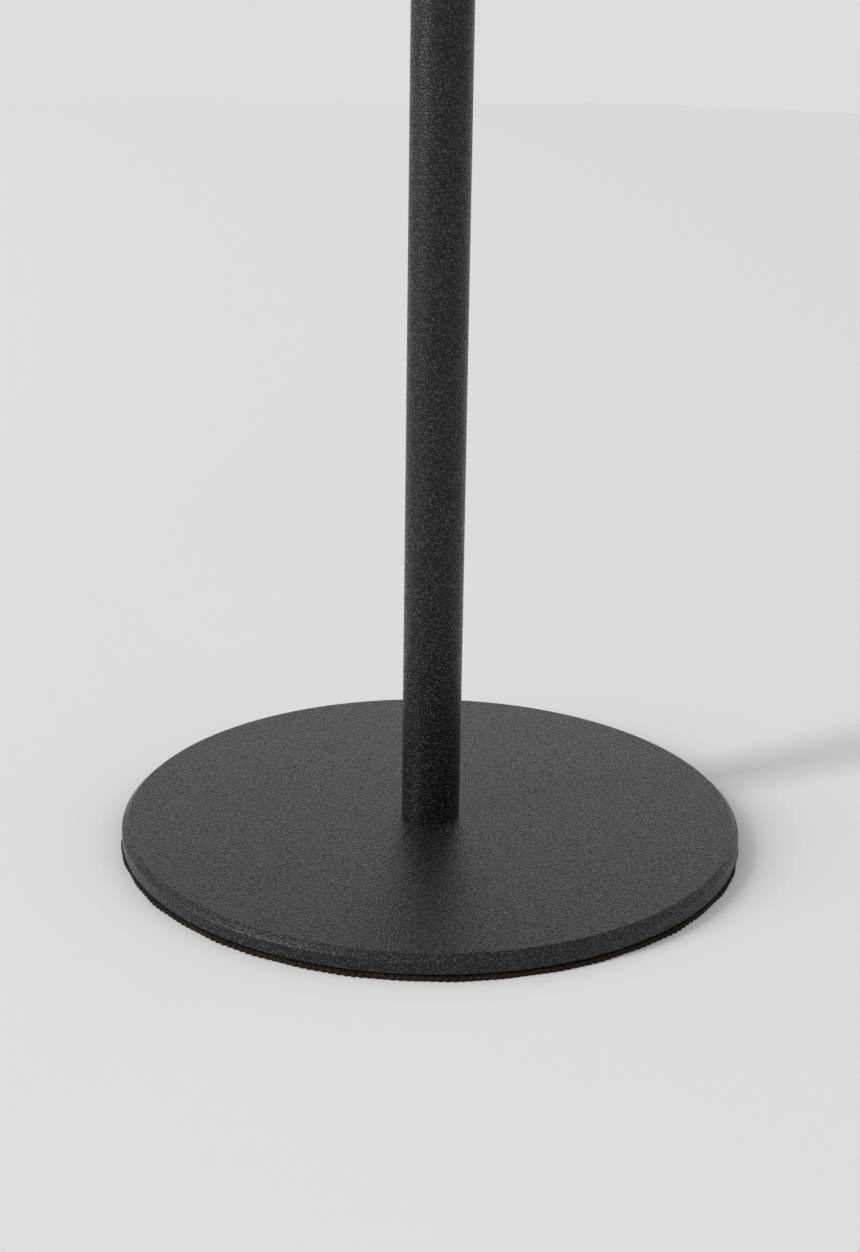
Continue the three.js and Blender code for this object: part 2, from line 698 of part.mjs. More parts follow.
// Spun dome shade, clamped at its crown between the core housing and the ring nut.
function addShade(group) {
  const rim = -rimDrop;
  const inner = shadeRadius - shadeWall;
  const shell = turned(closed([
    [inner + rimChamfer, rim],
    [shadeRadius - rimChamfer, rim],
    [shadeRadius, rim + rimChamfer],
    ...domeLine(0, shadeRadius, landRadius, domeSteps),
    [shadeHoleRadius, landTop],
    [shadeHoleRadius, landBottom],
    [landRadius, landBottom],
    ...domeLine(shadeWall, inner, landRadius, domeSteps).slice(0, -1).reverse(),
    [inner, rim + rimChamfer],
  ]), headFacets);
  const slot = stadium(socketWidth + 2 * slotMargin, socketHeight + 2 * slotMargin, 6 * shadeWall);
  slot.translate(0, socketMouth + 5 * shadeWall, socketMiddle);
  addPart(group, 'shade', cut(shell, slot), powderCoat);

  addPart(group, 'ring_nut', turned(closed([
    [neckRadius + slipGap, landTop],
    [nutRadius, landTop],
    [nutRadius, neckTop - nutChamfer],
    [nutRadius - nutChamfer, neckTop],
    [neckRadius + slipGap, neckTop],
  ]), coreFacets), powderCoat);
}

// The dome is a quarter ellipse above the skirt. A line that lies a given depth inside it has
// both half axes shorter by that depth.
function domeHeightAt(radius, depth) {
  const share = radius / (shadeRadius - depth);
  return skirtTop + (domeHeight - depth) * Math.sqrt(1 - share * share);
}

function domeRadiusAt(height, depth) {
  const share = (height - skirtTop) / (domeHeight - depth);
  return (shadeRadius - depth) * Math.sqrt(1 - share * share);
}

// Points on the dome line from one radius in to another, evenly spaced in the ellipse's angle.
function domeLine(depth, fromRadius, toRadius, steps) {
  const fromAngle = Math.acos(fromRadius / (shadeRadius - depth));
  const toAngle = Math.acos(toRadius / (shadeRadius - depth));
  const points = [];
  for (let i = 0; i <= steps; i += 1) {
    const angle = fromAngle + (toAngle - fromAngle) * i / steps;
    const radius = (shadeRadius - depth) * Math.cos(angle);
    points.push([radius, skirtTop + (domeHeight - depth) * Math.sin(angle)]);
  }
  return points;
}

// Places of what repeats, each with its x, y and angle.
function around(count, radius, firstAngle = 0) {
  const places = [];
  for (let i = 0; i < count; i += 1) {
    const angle = firstAngle + 2 * Math.PI * i / count;
    places.push({ x: radius * Math.cos(angle), y: radius * Math.sin(angle), angle });
  }
  return places;
}

function bracketScrewPlaces() {
  return [{ x: 0, y: -bracketScrewPlace }, { x: 0, y: bracketScrewPlace }];
}

function housingScrewPlaces() {
  const x = housingScrewCircle * Math.cos(housingScrewAngle);
  const y = housingScrewCircle * Math.sin(housingScrewAngle);
  return [{ x, y }, { x: -x, y }, { x: -x, y: -y }, { x, y: -y }];
}

function ledScrewPlaces() {
  return around(ledScrewCount, ledCircle, Math.PI / ledCount);
}

function ringScrewPlaces() {
  return around(ringScrewCount, ringScrewCircle, Math.PI / 2);
}

function controlScrewPlaces() {
  return around(controlScrewCount, controlScrewCircle, Math.PI);
}

function usbScrewPlaces() {
  const y = usbBoardStart + usbScrewInset;
  return [{ x: -usbScrewSpacing / 2, y }, { x: usbScrewSpacing / 2, y }];
}

// Parts soldered on the control board, each with its foot just inside the board's face.
function chip() {
  return standing(new THREE.BoxGeometry(chipWidth, chipWidth, chipHeight), chipHeight);
}

function coil() {
  return rod(coilRadius, -faceGap, coilHeight, hingeFacets);
}

function capacitor() {
  return rod(capRadius, -faceGap, capHeight, hingeFacets);
}

function standing(geometry, height) {
  return geometry.translate(0, 0, height / 2 - faceGap);
}

// Solid of revolution about Z, from radius and height pairs in counter-clockwise order.
function turned(points, facets) {
  const profile = points.map(([radius, height]) => new THREE.Vector2(radius, height));
  return new THREE.LatheGeometry(profile, facets).rotateX(Math.PI / 2);
}

function closed(points) {
  return [...points, points[0]];
}

function ring(inner, outer, bottom, top, facets) {
  return turned(closed([[inner, bottom], [outer, bottom], [outer, top], [inner, top]]), facets);
}

function rod(radius, bottom, top, facets = screwFacets) {
  return turned([[0, bottom], [radius, bottom], [radius, top], [0, top]], facets);
}

// Rod along X with its middle at the origin.
function crossRod(radius, length, facets) {
  return rod(radius, -length / 2, length / 2, facets).rotateY(Math.PI / 2);
}

// Rod along Y with its middle at the origin.
function alongY(radius, length, facets) {
  return rod(radius, -length / 2, length / 2, facets).rotateX(Math.PI / 2);
}

// Turns a piece that stands on Z = 0 so that it points along X, and moves its foot to x.
function layAlongX(geometry, x) {
  return geometry.rotateY(Math.PI / 2).translate(x, 0, 0);
}

function hexagon(acrossFlats) {
  const shape = new THREE.Shape();
  const corner = acrossFlats / Math.sqrt(3);
  for (let i = 0; i < 6; i += 1) {
    const angle = Math.PI * i / 3;
    shape[i ? 'lineTo' : 'moveTo'](corner * Math.cos(angle), corner * Math.sin(angle));
  }
  return shape;
}

function prism(shape, height) {
  return new THREE.ExtrudeGeometry(shape, { depth: height, bevelEnabled: false });
}

// Bar along Y with a round-ended section, reaching back from y = 0.
function stadium(width, height, depth) {
  const shape = new THREE.Shape();
  const radius = height / 2;
  const centre = width / 2 - radius;
  shape.absarc(centre, 0, radius, -Math.PI / 2, Math.PI / 2, false);
  shape.absarc(-centre, 0, radius, Math.PI / 2, 3 * Math.PI / 2, false);
  const bar = new THREE.ExtrudeGeometry(shape, { depth, bevelEnabled: false, curveSegments: 8 });
  return bar.rotateX(Math.PI / 2);
}

// Pan-head screw pointing up from its seat at Z = 0.
function panScrew(radius, headRadius, headHeight, reach) {
  const edge = headHeight / 3;
  return turned([
    [0, -headHeight],
    [headRadius - edge, -headHeight],
    [headRadius, -headHeight + edge],
    [headRadius, 0],
    [radius, 0],
    [radius, reach],
    [0, reach],
  ], screwFacets);
}

// Round lead along a smooth curve through the given points.
function lead(radius, points) {
  const through = points.map((point) => new THREE.Vector3(...point));
  const extrudePath = new THREE.CatmullRomCurve3(through, false, 'centripetal');
  const section = new THREE.Shape();
  section.absarc(0, 0, radius, 0, 2 * Math.PI, false);
  const steps = 2 * points.length;
  const options = { steps, extrudePath, curveSegments: 4, bevelEnabled: false };
  return new THREE.ExtrudeGeometry(section, options);
}

// Closed solid with shared vertices, for joins and cuts.
function toSolid(geometry) {
  const bare = new THREE.BufferGeometry();
  const source = geometry.index ? geometry.toNonIndexed() : geometry;
  bare.setAttribute('position', source.getAttribute('position').clone());
  const merged = mergeVertices(bare, 1e-4);
  return new wasm.Manifold(new wasm.Mesh({
    numProp: 3,
    vertProperties: merged.getAttribute('position').array,
    triVerts: new Uint32Array(merged.index.array),
  }));
}

function toGeometry(solid) {
  const mesh = solid.getMesh();
  const geometry = new THREE.BufferGeometry();
  geometry.setAttribute('position', new THREE.BufferAttribute(mesh.vertProperties, 3));
  geometry.setIndex(new THREE.BufferAttribute(mesh.triVerts, 1));
  return geometry;
}

function join(...geometries) {
  return toGeometry(geometries.map(toSolid).reduce((sum, next) => sum.add(next)));
}

function cut(geometry, ...tools) {
  return toGeometry(tools.map(toSolid).reduce((rest, tool) => rest.subtract(tool), toSolid(geometry)));
}

function addPart(group, name, geometry, finish) {
  const flat = geometry.index ? geometry.toNonIndexed() : geometry;
  flat.computeVertexNormals();
  const mesh = new THREE.Mesh(flat, new THREE.MeshStandardMaterial(finish));
  mesh.name = name;
  group.add(mesh);
  return mesh;
}
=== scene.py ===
import json
import math
from functools import partial

import bpy
import numpy as np
from mathutils import Matrix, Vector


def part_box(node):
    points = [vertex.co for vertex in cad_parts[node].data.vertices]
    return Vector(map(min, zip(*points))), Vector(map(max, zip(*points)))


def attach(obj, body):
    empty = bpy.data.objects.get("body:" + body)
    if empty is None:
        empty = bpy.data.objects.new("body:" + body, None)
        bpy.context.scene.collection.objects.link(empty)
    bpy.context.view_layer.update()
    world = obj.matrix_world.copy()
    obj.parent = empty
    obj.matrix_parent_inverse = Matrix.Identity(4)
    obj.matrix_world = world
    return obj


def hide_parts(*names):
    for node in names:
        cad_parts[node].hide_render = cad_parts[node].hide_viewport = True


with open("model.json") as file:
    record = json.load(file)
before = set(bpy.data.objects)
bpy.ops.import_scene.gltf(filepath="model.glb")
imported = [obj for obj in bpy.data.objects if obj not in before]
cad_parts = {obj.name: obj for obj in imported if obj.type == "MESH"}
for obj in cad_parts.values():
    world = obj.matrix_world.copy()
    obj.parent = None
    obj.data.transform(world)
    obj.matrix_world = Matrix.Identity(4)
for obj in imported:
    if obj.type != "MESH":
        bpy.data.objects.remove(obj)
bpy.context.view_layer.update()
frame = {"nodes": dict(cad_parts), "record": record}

print("frame loaded:", len(frame["nodes"]), "nodes")

# View, fitted to the photograph: metres from the middle of the pad's underside, and degrees
viewSettings = {
    "place": (0.0, -0.48301, 0.22667),
    "pitchDown": 20.355,
    "yaw": -0.08,
    "roll": 0.862,
    "focalPixels": 2498.1,
    "frameHeight": 1252,
    "sensorHeight": 36.0,
    "nearest": 0.01,
}


# Camera whose forward axis is (sin yaw cos pitch, cos yaw cos pitch, -sin pitch), rolled about that axis
def makeCamera(settings):
    pitch, yaw, roll = (math.radians(settings[key]) for key in ("pitchDown", "yaw", "roll"))
    level = math.cos(pitch)
    forward = np.array([math.sin(yaw) * level, math.cos(yaw) * level, -math.sin(pitch)])
    right = np.array([math.cos(yaw), -math.sin(yaw), 0.0])
    up = np.cross(right, forward)
    axes = np.eye(4)
    axes[:3, 0] = math.cos(roll) * right + math.sin(roll) * up
    axes[:3, 1] = math.cos(roll) * up - math.sin(roll) * right
    axes[:3, 2] = -forward
    axes[:3, 3] = settings["place"]
    data = bpy.data.cameras.new("photoCamera")
    data.sensor_fit = "VERTICAL"
    data.sensor_height = settings["sensorHeight"]
    data.lens = settings["focalPixels"] / settings["frameHeight"] * settings["sensorHeight"]
    data.clip_start = settings["nearest"]
    camera = bpy.data.objects.new("photoCamera", data)
    bpy.context.scene.collection.objects.link(camera)
    camera.matrix_world = Matrix(axes.tolist())
    bpy.context.scene.camera = camera


makeCamera(viewSettings)

# Studio in a pale surround: a tall narrow softbox at the front left, which makes the shadows, a weak wide
# one behind, and a weak low one at the left. Camera, glossy and transmission rays see the surround's plain
# colour. The light that it gives comes from soft-edged panels, each over a span of turn from +X and a span
# of height, in degrees: level * step(|turn - middle| < half span) * step(low < height < high), where each
# step is a smoothstep of the width blur.
lightSettings = {
    "softboxes": {
        "sideSoftbox": {
            "from": 207.5, "height": 25.0, "distance": 8.0, "size": (1.175, 6.46), "power": 500.0,
            "tint": (0.97, 0.99, 1.05),
        },
        "backSoftbox": {
            "from": 90.0, "height": 30.0, "distance": 4.0, "size": (5.0, 1.6), "power": 7.5,
            "tint": (0.97, 0.99, 1.03),
        },
        "leftSoftbox": {
            "from": 184.0, "height": 16.0, "distance": 4.0, "size": (3.0, 1.6), "power": 32.0,
            "tint": (0.95, 0.99, 1.06),
        },
    },
    "shown": (0.7295, 0.7232, 0.7081),
    "tint": (0.985, 1.0, 1.01),
    "blur": 5.0,
    "panels": (
        # middle, half span, low, high, level
        (0.0, 190.0, 62.0, 100.0, 0.53),  # overhead
        (270.0, 90.0, 25.0, 62.0, 0.84),  # front
        (90.0, 90.0, 25.0, 62.0, 0.38),  # behind
        (0.0, 60.0, 5.0, 30.0, 1.00),  # right
    ),
}


rangeInputs = ("From Min", "From Max", "To Min", "To Max")  # of a Map Range node


# Softbox that faces the middle from distance * (cos turn cos height, sin turn cos height, sin height)
def makeSoftbox(name, settings):
    turn, height = math.radians(settings["from"]), math.radians(settings["height"])
    level = math.cos(height)
    towards = np.array([math.cos(turn) * level, math.sin(turn) * level, math.sin(height)])
    data = bpy.data.lights.new(name, "AREA")
    data.shape = "RECTANGLE"
    data.size, data.size_y = settings["size"]
    data.energy = settings["power"]
    data.color = settings["tint"]
    softbox = bpy.data.objects.new(name, data)
    softbox.location = towards * settings["distance"]
    softbox.rotation_euler = (math.pi / 2 - height, 0.0, turn + math.pi / 2)
    softbox.visible_camera = False
    bpy.context.scene.collection.objects.link(softbox)


def makeLight(settings):
    for name, softbox in settings["softboxes"].items():
        makeSoftbox(name, softbox)
    scene = bpy.context.scene
    world = bpy.data.worlds.new("studio")
    scene.world = world
    world.use_nodes = True
    nodes, links = world.node_tree.nodes, world.node_tree.links
    nodes.clear()
    direction = nodes.new("ShaderNodeTexCoord").outputs["Generated"]

    # Dot product of the ray's direction with (x, y, z)
    def along(x, y, z):
        node = nodes.new("ShaderNodeVectorMath")
        node.operation = "DOT_PRODUCT"
        node.inputs[1].default_value = (x, y, z)
        links.new(direction, node.inputs[0])
        return node.outputs["Value"]

    # One arithmetic step on its sources
    def combine(operation, *sources):
        node = nodes.new("ShaderNodeMath")
        node.operation = operation
        for socket, source in zip(node.inputs, sources):
            links.new(source, socket)
        return node.outputs[0]

    # Smoothstep from low to high about an angle in degrees
    def step(source, where, low, high):
        node = nodes.new("ShaderNodeMapRange")
        node.interpolation_type = "SMOOTHSTEP"
        middle, half = math.radians(where), math.radians(settings["blur"]) / 2
        for name, value in zip(rangeInputs, (middle - half, middle + half, low, high)):
            node.inputs[name].default_value = value
        links.new(source, node.inputs["Value"])
        return node.outputs["Result"]

    rise = combine("ARCSINE", along(0.0, 0.0, 1.0))
    total = None
    for middle, halfSpan, low, high, level in settings["panels"]:
        cosine, sine = math.cos(math.radians(middle)), math.sin(math.radians(middle))
        aside = combine("ABSOLUTE", combine("ARCTAN2", along(-sine, cosine, 0.0), along(cosine, sine, 0.0)))
        panel = combine("MULTIPLY", step(aside, halfSpan, level, 0.0), step(rise, low, 0.0, 1.0))
        panel = combine("MULTIPLY", panel, step(rise, high, 1.0, 0.0))
        total = panel if total is None else combine("ADD", total, panel)
    ambient = nodes.new("ShaderNodeBackground")
    ambient.inputs["Color"].default_value = settings["tint"] + (1.0,)
    links.new(total, ambient.inputs["Strength"])
    shown = nodes.new("ShaderNodeBackground")
    shown.inputs["Color"].default_value = settings["shown"] + (1.0,)
    path = nodes.new("ShaderNodeLightPath")
    mix = nodes.new("ShaderNodeMixShader")
    out = nodes.new("ShaderNodeOutputWorld")
    seen = combine("MAXIMUM", path.outputs["Is Camera Ray"], path.outputs["Is Glossy Ray"])
    links.new(combine("MAXIMUM", seen, path.outputs["Is Transmission Ray"]), mix.inputs[0])
    links.new(ambient.outputs[0], mix.inputs[1])
    links.new(shown.outputs[0], mix.inputs[2])
    links.new(mix.outputs[0], out.inputs[0])
    scene.view_settings.view_transform = "Standard"


makeLight(lightSettings)
print("camera and light set")


# Mesh helpers

creaseAngle = 35.0  # faces that meet at less than this angle are shaded as one smooth surface


# Four-cornered faces between the neighbours of a grid, whose rows and columns may close into rings
def gridFaces(rows, columns, closeRows, closeColumns=True):
    firstRows, firstColumns = np.arange(rows - (not closeRows)), np.arange(columns - (not closeColumns))
    i, j = np.meshgrid(firstRows, firstColumns, indexing="ij")
    row, nextRow = i * columns, (i + 1) % rows * columns
    nextColumn = (j + 1) % columns
    corners = (row + j, row + nextColumn, nextRow + nextColumn, nextRow + j)
    return np.stack(corners, axis=-1).reshape(-1, 4).tolist()


# Object with a mesh of its own
def meshObject(name, points, faces):
    mesh = bpy.data.meshes.new(name)
    mesh.from_pydata(np.asarray(points, float).tolist(), [], faces)
    mesh.validate()
    piece = bpy.data.objects.new(name, mesh)
    bpy.context.scene.collection.objects.link(piece)
    smooth(piece)
    return piece


# Shades a piece smooth, apart from its creases
def smooth(piece):
    for other in bpy.context.selected_objects:
        other.select_set(False)
    piece.select_set(True)
    bpy.context.view_layer.objects.active = piece
    bpy.ops.object.shade_smooth_by_angle(angle=math.radians(creaseAngle))
    piece.select_set(False)


# Profile with rounded corners. A corner is (radius, height) or (radius, height, fillet), and its arc
# touches both sides at fillet / tan(half the corner's angle).
def filleted(corners, closed=True, steps=5):
    points = np.array([corner[:2] for corner in corners], float)
    line = []
    for k, corner in enumerate(corners):
        fillet = corner[2] if len(corner) > 2 else 0.0
        if fillet <= 0 or (not closed and k in (0, len(corners) - 1)):
            line.append(points[k])
            continue
        before, after = points[k - 1] - points[k], points[(k + 1) % len(points)] - points[k]
        before, after = before / np.linalg.norm(before), after / np.linalg.norm(after)
        half = 0.5 * math.acos(float(np.clip(before @ after, -1, 1)))
        first, last = (points[k] + side * fillet / math.tan(half) for side in (before, after))
        middle = points[k] + (before + after) / np.linalg.norm(before + after) * fillet / math.sin(half)
        spread = math.pi - 2 * half
        share = np.linspace(0, 1, steps + 1)[:, None]
        arc = np.sin((1 - share) * spread) * (first - middle) + np.sin(share * spread) * (last - middle)
        line.extend(middle + arc / math.sin(spread))
    return np.array(line)


# Surface of revolution: point (u, v) is at r(u, v) along direction v and h(u) along the axis. The profile
# runs counter-clockwise in radius and height. A closed one makes a ring, and an open one ends on the axis.
# form(r, h, v) may bend the radius, for flats, lobes and flutes. Angle 0 points along +X about Z, along +Y
# about X, and along +Z about Y.
def revolvedGrid(profile, turns, closed=True, form=None, axis="z", centre=(0.0, 0.0, 0.0)):
    profile = np.asarray(profile, float)
    if np.isscalar(turns):
        turns = np.linspace(0, 2 * np.pi, turns, endpoint=False)
    angle = turns[None, :]
    body = profile if closed else profile[1:-1]
    radius, height = body[:, :1], body[:, 1:]
    reach = radius + 0 * angle if form is None else form(radius, height, angle)
    grid = np.stack([reach * np.cos(angle), reach * np.sin(angle), height + 0 * angle], axis=-1)
    count = angle.shape[1]
    faces = gridFaces(len(body), count, closed)
    points = grid.reshape(-1, 3)
    if not closed:
        ends = [[0, 0, profile[0, 1]], [0, 0, profile[-1, 1]]]
        low, high, last = len(points), len(points) + 1, (len(body) - 1) * count
        points = np.vstack([points, ends])
        step = [(j, (j + 1) % count) for j in range(count)]
        faces += [[low, b, a] for a, b in step]
        faces += [[high, last + a, last + b] for a, b in step]
    shift = {"z": 0, "x": 1, "y": 2}[axis]
    return np.roll(points, shift, axis=1) + np.array(centre), faces


# Object that is one surface of revolution
def revolved(name, profile, turns, closed=True, form=None, axis="z", centre=(0.0, 0.0, 0.0)):
    return meshObject(name, *revolvedGrid(profile, turns, closed, form, axis, centre))


# One mesh of several closed surfaces, which may pass through each other
def joined(name, grids):
    points, faces = [], []
    for gridPoints, gridFaceList in grids:
        start = sum(len(part) for part in points)
        points.append(gridPoints)
        faces += [[start + k for k in face] for face in gridFaceList]
    return meshObject(name, np.vstack(points), faces)


# Distance from a regular polygon's middle to its edge, apothem / cos(angle to the flat's middle). A corner
# lies at the phase angle.
def polygonReach(angle, sides, apothem, phase=0.0):
    sector = 2 * np.pi / sides
    return apothem / np.cos((angle - phase) % sector - sector / 2)


# A profile point beyond half of outlineMark stands for a piece's outline. It moves out to the outline's
# reach and keeps its own distance from the mark.
outlineMark = 1.0


def toOutline(radius, reach):
    return np.where(radius > outlineMark / 2, radius - outlineMark + reach, radius + 0 * reach)


# Gives a piece its material and body, and hides the nodes that it replaces. The slot argument is not used.
def finish(piece, body, material, slot, *nodes):
    piece.data.materials.clear()
    piece.data.materials.append(material)
    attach(piece, body)
    if nodes:
        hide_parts(*nodes)


# Material helpers

# Material with its node tree, its shader and the piece's own coordinates
def newMaterial(name):
    material = bpy.data.materials.new(name)
    material.use_nodes = True
    nodes, links = material.node_tree.nodes, material.node_tree.links
    place = nodes.new("ShaderNodeTexCoord")
    return material, nodes, links, nodes["Principled BSDF"], place.outputs["Object"]


# Fractal noise, 0 to 1
def noise(nodes, links, place, scale, detail=2.0, rough=0.5):
    node = nodes.new("ShaderNodeTexNoise")
    node.inputs["Scale"].default_value = scale
    node.inputs["Detail"].default_value = detail
    node.inputs["Roughness"].default_value = rough
    links.new(place, node.inputs["Vector"])
    return node.outputs["Fac"]


# Colour that runs straight from stop to stop
def ramp(nodes, links, source, stops):
    node = nodes.new("ShaderNodeValToRGB")
    elements = node.color_ramp.elements
    while len(elements) < len(stops):
        elements.new(0.5)  # anywhere, since the loop below places it
    for element, (position, colour) in zip(elements, stops):
        element.position = position
        element.color = tuple(colour) + (1.0,)
    links.new(source, node.inputs["Fac"])
    return node.outputs["Color"]


# Straight line from (fromLow, low) to (fromHigh, high), level beyond both ends
def mapped(nodes, links, source, low, high, fromLow=0.35, fromHigh=0.65):
    node = nodes.new("ShaderNodeMapRange")
    for name, value in zip(rangeInputs, (fromLow, fromHigh, low, high)):
        node.inputs[name].default_value = value
    links.new(source, node.inputs["Value"])
    return node.outputs["Result"]


# Normal tilted by the slope of distance * source, on top of the normal under it
def bumped(nodes, links, source, distance, under=None):
    node = nodes.new("ShaderNodeBump")
    node.inputs["Distance"].default_value = distance
    links.new(source, node.inputs["Height"])
    if under is not None:
        links.new(under, node.inputs["Normal"])
    return node.outputs["Normal"]


# Fine-texture powder coat: near-black resin with a pebbled skin. Each Voronoi cell is a pebble, a noise
# varies their height, and the crests are glossier than the hollows. The colour is painted shade in the
# hollows and a painted highlight on the crests, and the pale specks on the pebbles' tops are painted
# glints.
coatSettings = {
    # the three colours below are painted shade in the hollows, a painted highlight on the crests and
    # painted glints on the pebbles' tops
    "hollow": (0.0008, 0.0009, 0.0011),
    "crest": (0.0025, 0.0027, 0.0031),
    "speck": (0.0455, 0.0475, 0.0500),
    "pebbleScale": 2150.0,
    "fineScale": 4000.0,
    "hollowRoughness": 0.47,
    "crestRoughness": 0.27,
    "specular": 0.32,
    "pebbleHeight": 0.00006,
    "fineHeight": 0.00003,
    "smoothness": 0.5,
    "cellReach": 0.8,  # distance from a cell's middle at which a pebble ends
    "hollowEnd": 0.20,
    "crestStart": 0.45,
    "paintedGlintStart": 0.70,
}


def powderCoat(name, settings):
    material, nodes, links, shader, place = newMaterial(name)
    cells = nodes.new("ShaderNodeTexVoronoi")
    cells.feature = "SMOOTH_F1"
    cells.inputs["Scale"].default_value = settings["pebbleScale"]
    cells.inputs["Smoothness"].default_value = settings["smoothness"]
    links.new(place, cells.inputs["Vector"])
    pebbles = mapped(nodes, links, cells.outputs["Distance"], 1.0, 0.0, 0.0, settings["cellReach"])
    fine = noise(nodes, links, place, settings["fineScale"])
    low, high = settings["hollowEnd"], settings["crestStart"]
    # colour by pebble height: painted shade low, a painted highlight higher up, painted glints at the tops
    tones = [(low, "hollow"), (high, "crest"), (settings["paintedGlintStart"], "speck")]
    colour = ramp(nodes, links, pebbles, [(where, settings[tone]) for where, tone in tones])
    links.new(colour, shader.inputs["Base Color"])
    roughness = settings["hollowRoughness"], settings["crestRoughness"]
    links.new(mapped(nodes, links, pebbles, *roughness, low, high), shader.inputs["Roughness"])
    shader.inputs["Specular IOR Level"].default_value = settings["specular"]
    lifted = bumped(nodes, links, pebbles, settings["pebbleHeight"])
    links.new(bumped(nodes, links, fine, settings["fineHeight"], lifted), shader.inputs["Normal"])
    return material


# Other finishes: colour and roughness wander by the spread with one noise, which also lifts the surface
finishes = {
    "foam": {
        "colour": (0.016, 0.011, 0.0070), "roughness": 0.9, "scale": 1300.0, "height": 0.00016,
        "spread": 0.7, "specular": 0.15,
    },
    "zinc": {
        "colour": (0.60, 0.61, 0.63), "roughness": 0.32, "scale": 420.0, "metallic": 1.0, "spread": 0.14,
    },
    "blackOxide": {"colour": (0.045, 0.046, 0.050), "roughness": 0.38, "scale": 600.0, "metallic": 0.9},
    "springSteel": {"colour": (0.42, 0.42, 0.44), "roughness": 0.28, "scale": 500.0, "metallic": 1.0},
    "acetal": {"colour": (0.78, 0.77, 0.73), "roughness": 0.42, "scale": 800.0, "spread": 0.06},
    "aluminium": {"colour": (0.70, 0.71, 0.72), "roughness": 0.36, "scale": 260.0, "metallic": 1.0},
    "whitePlastic": {"colour": (0.80, 0.80, 0.78), "roughness": 0.45, "scale": 700.0, "spread": 0.05},
    "opal": {
        "colour": (0.84, 0.83, 0.79), "roughness": 0.42, "scale": 500.0, "spread": 0.03, "glow": 0.35,
    },
    "blackPlastic": {
        "colour": (0.016, 0.016, 0.017), "roughness": 0.5, "scale": 1800.0, "height": 0.00004,
        "spread": 0.25,
    },
    "whiteBoard": {"colour": (0.76, 0.76, 0.73), "roughness": 0.38, "scale": 300.0, "spread": 0.06},
    "greenBoard": {"colour": (0.012, 0.10, 0.045), "roughness": 0.33, "scale": 350.0, "spread": 0.3},
    "cellWrap": {"colour": (0.03, 0.14, 0.33), "roughness": 0.3, "scale": 200.0, "spread": 0.15},
    "nickel": {"colour": (0.62, 0.60, 0.55), "roughness": 0.26, "scale": 500.0, "metallic": 1.0},
    "leadSheath": {"colour": (0.30, 0.022, 0.018), "roughness": 0.48, "scale": 900.0, "spread": 0.15},
}

# What the finishes share, and what they take where they don't say
mottleSettings = {
    "detail": 3.0,
    "rough": 0.55,
    "low": 0.32,
    "high": 0.68,
    "spread": 0.12,
    "height": 0.00001,
    "metallic": 0.0,
    "specular": 0.5,
    "glowDepth": 0.002,
}


# As the mottle rises, colour and roughness each go from value * (1 - spread) to value * (1 + spread)
def plainFinish(name, settings):
    material, nodes, links, shader, place = newMaterial(name)
    settings = {**mottleSettings, **settings}
    mottle = noise(nodes, links, place, settings["scale"], settings["detail"], settings["rough"])
    darker, paler = 1 - settings["spread"], 1 + settings["spread"]
    colour, rough = np.array(settings["colour"]), settings["roughness"]
    stops = [(settings["low"], colour * darker), (settings["high"], np.minimum(colour * paler, 1.0))]
    links.new(ramp(nodes, links, mottle, stops), shader.inputs["Base Color"])
    links.new(mapped(nodes, links, mottle, rough * darker, rough * paler), shader.inputs["Roughness"])
    shader.inputs["Metallic"].default_value = settings["metallic"]
    shader.inputs["Specular IOR Level"].default_value = settings["specular"]
    if "glow" in settings:
        shader.inputs["Subsurface Weight"].default_value = settings["glow"]
        shader.inputs["Subsurface Scale"].default_value = settings["glowDepth"]
    links.new(bumped(nodes, links, mottle, settings["height"]), shader.inputs["Normal"])
    return material


coat = powderCoat("powderCoat", coatSettings)
made = {name: plainFinish(name, settings) for name, settings in finishes.items()}

# CAD nodes that stay take the finish of their slot in the record
slotFinish = {
    "powder_coat": coat,
    "foam_pad": made["foam"],
    "zinc_steel": made["zinc"],
    "black_steel": made["blackOxide"],
    "spring_steel": made["springSteel"],
    "acetal": made["acetal"],
    "bare_aluminium": made["aluminium"],
    "white_plastic": made["whitePlastic"],
    "opal_plastic": made["opal"],
    "black_plastic": made["blackPlastic"],
    "white_board": made["whiteBoard"],
    "green_board": made["greenBoard"],
    "cell_wrap": made["cellWrap"],
    "nickel": made["nickel"],
    "lead_sheath": made["leadSheath"],
}
slotOf = {entry["node"]: entry["material_slot"] for entry in frame["record"]["subparts"]}
for nodeName, nodeObject in frame["nodes"].items():
    for materialSlot in nodeObject.material_slots:
        materialSlot.material = slotFinish[slotOf[nodeName]]
print("finishes made")

# Base plate: a flat disc with a narrow chamfer round its top edge, countersunk from below
plateShape = {
    "chamferWidth": 0.0013,
    "chamferHeight": 0.0012,
    "arris": 0.00035,
    "holeRadius": 0.00325,
    "sinkRadius": 0.00625,
    "sinkLand": 0.0003,
    "turns": 512,
}


def makePlate(shape):
    low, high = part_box("base_plate")
    outer, arris = high[0], shape["arris"]
    hole, sink = shape["holeRadius"], shape["sinkRadius"]
    sinkBase = low[2] + shape["sinkLand"]
    profile = filleted([
        (sink, low[2]),
        (outer, low[2], arris),
        (outer, high[2] - shape["chamferHeight"], arris),
        (outer - shape["chamferWidth"], high[2], arris / 2),
        (hole, high[2]),
        (hole, sinkBase + sink - hole),
        (sink, sinkBase),
    ])
    finish(revolved("basePlate", profile, shape["turns"]), "stand", coat, "powder_coat", "base_plate")


